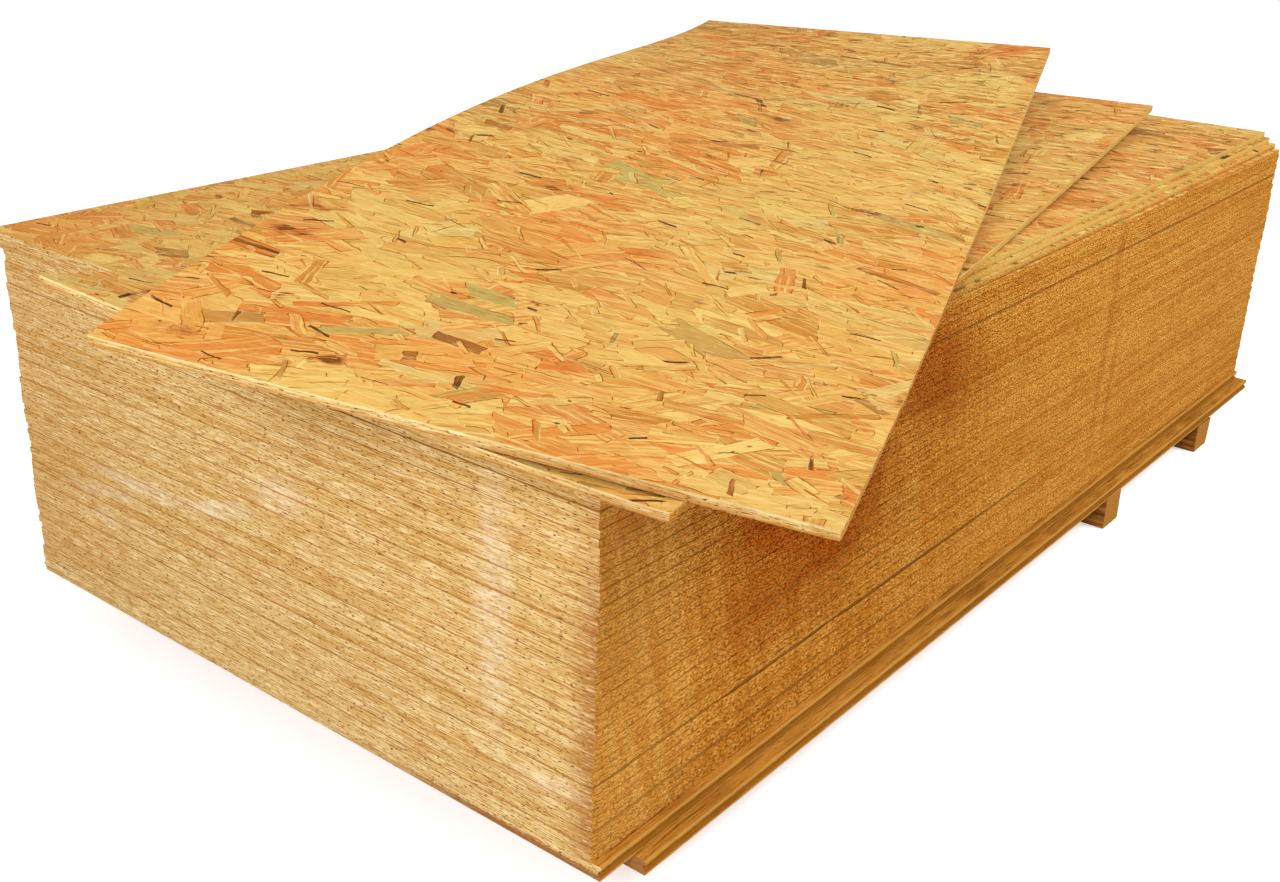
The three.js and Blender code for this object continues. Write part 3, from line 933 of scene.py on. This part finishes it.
def makeBearer(node, seed):
    shape = bearerShape
    low, high = (np.array(c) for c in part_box(node))
    length = (high[1] - low[1]) * 1000
    dice = np.random.default_rng(seed)
    y, x, z = carrySection(bearerSection(), length, shape["step"])
    rows, count = y.shape
    slow, quick = (np.stack([loopNoise(dice, rows, shape[run]) for _ in range(count)], 1)
                   for run in ("slowRun", "quickRun"))
    push = shape["saw"] * (1 + shape["slow"] * np.roll(slow, 1, axis=1) + shape["quick"] * quick) / 2
    half, h = shape["width"] / 2, shape["height"]
    x = x - np.sign(x) * push * (np.abs(x) > half - shape["rim"])
    z = z - push * (z > h - shape["rim"]) * shape["topShare"]
    skew = shape["end"] * (0.5 + 0.5 * np.sin(z / h * shape["endWave"] + x / half + seed))
    y = y + skew * ((y < 1) * 1.0 - (y > length - 1))
    rings = np.stack([y, x, z], -1)
    rings[0], rings[-1] = rings[0].mean(0), rings[-1].mean(0)
    rings = rings[:, ::-1]
    first, triangles = knitRings(rings)[:2]
    spots = rings.reshape(-1, 3)[first]
    points = np.array([(low[0] + high[0]) / 2, low[1], low[2]]) + spots[:, [1, 0, 2]] / 1000
    piece = makePiece(f"sawn_{node}", points, triangles, np.zeros(len(triangles)), [bearerTimber],
                      {"bearerPlace": spots / 1000, "bearerSeed": np.full(len(spots), float(seed))},
                      crease=shape["crease"])
    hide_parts(node)
    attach(piece, "root")


for i, node in enumerate(bearerNames):
    makeBearer(node, 11 + 3 * i)
print("bearers made:", len(bearerNames))


# Floor, lamps and world. The camera sees the floor and the world white, with the
# stack's shadow.
studio = dict(floorHalf=14.0, floorColour="f2f1ef", floorRough=0.9, floorLift=0.5, keyPower=210.0,
              keySize=2.0, keyAt=(-5.4, -1.6, 3.3), fillPower=256.0, fillSize=2.6, fillAt=(2.0, -4.0, 5.3),
              worldStrength=0.5)


def makeFloor():
    half = studio["floorHalf"]
    mesh = bpy.data.meshes.new("floor")
    corners = [(x * half, y * half, 0) for x, y in ((-1, -1), (1, -1), (1, 1), (-1, 1))]
    mesh.from_pydata(corners, [], [(0, 1, 2, 3)])
    material, pen = newMaterial("floorPaint")
    seen = pen.add("ShaderNodeLightPath").outputs["Is Camera Ray"]
    paint = {"Base Color": studio["floorColour"], "Roughness": studio["floorRough"],
             "Emission Color": "ffffff", "Emission Strength": pen.times(seen, studio["floorLift"])}
    pen.add("ShaderNodeOutputMaterial", {"Surface": pen.add("ShaderNodeBsdfPrincipled", paint).outputs[0]})
    mesh.materials.append(material)
    floor = addObject("floor", mesh)


def areaLamp(name, target):
    data = bpy.data.lights.new(name, "AREA")
    data.energy = studio[name + "Power"]
    data.size = studio[name + "Size"]
    lamp = addObject(name, data)
    lamp.location = studio[name + "At"]
    lamp.rotation_euler = (target - lamp.location).to_track_quat("-Z", "Y").to_euler()


def makeWorld():
    world = bpy.data.worlds.new("studio")
    bpy.context.scene.world = world
    world.use_nodes = True
    world.node_tree.nodes.clear()
    pen = NodePen(world.node_tree)
    ray = pen.add("ShaderNodeLightPath").outputs
    mirrored = pen.calc("MAXIMUM", ray["Is Glossy Ray"], ray["Is Transmission Ray"])
    seen = pen.calc("MAXIMUM", ray["Is Camera Ray"], mirrored)
    light = {"Color": "ffffff", "Strength": pen.mix(seen, studio["worldStrength"], 1.0)}
    pen.add("ShaderNodeOutputWorld", {"Surface": pen.add("ShaderNodeBackground", light).outputs[0]})


makeFloor()
middle = (cadBox[0] + cadBox[1]) / 2
areaLamp("key", middle)
areaLamp("fill", middle)
makeWorld()

# Camera: place in metres from the lowest panel's near corner, turn in degrees.
cameraSet = dict(place=(-1.15498, -0.93795, 1.20964), turn=(66.886, -2.130, -51.565), lens=41.675,
                 sensor=36.0, farEnd=100.0)
view = bpy.data.cameras.new("camera")
view.lens = cameraSet["lens"]
view.sensor_width = cameraSet["sensor"]
view.clip_end = cameraSet["farEnd"]
camera = addObject("camera", view)
camera.location = [corner[i] + cameraSet["place"][i] for i in range(3)]
camera.rotation_euler = [math.radians(a) for a in cameraSet["turn"]]
bpy.context.scene.camera = camera
bpy.context.scene.view_settings.view_transform = "Standard"
print("studio and camera ready")
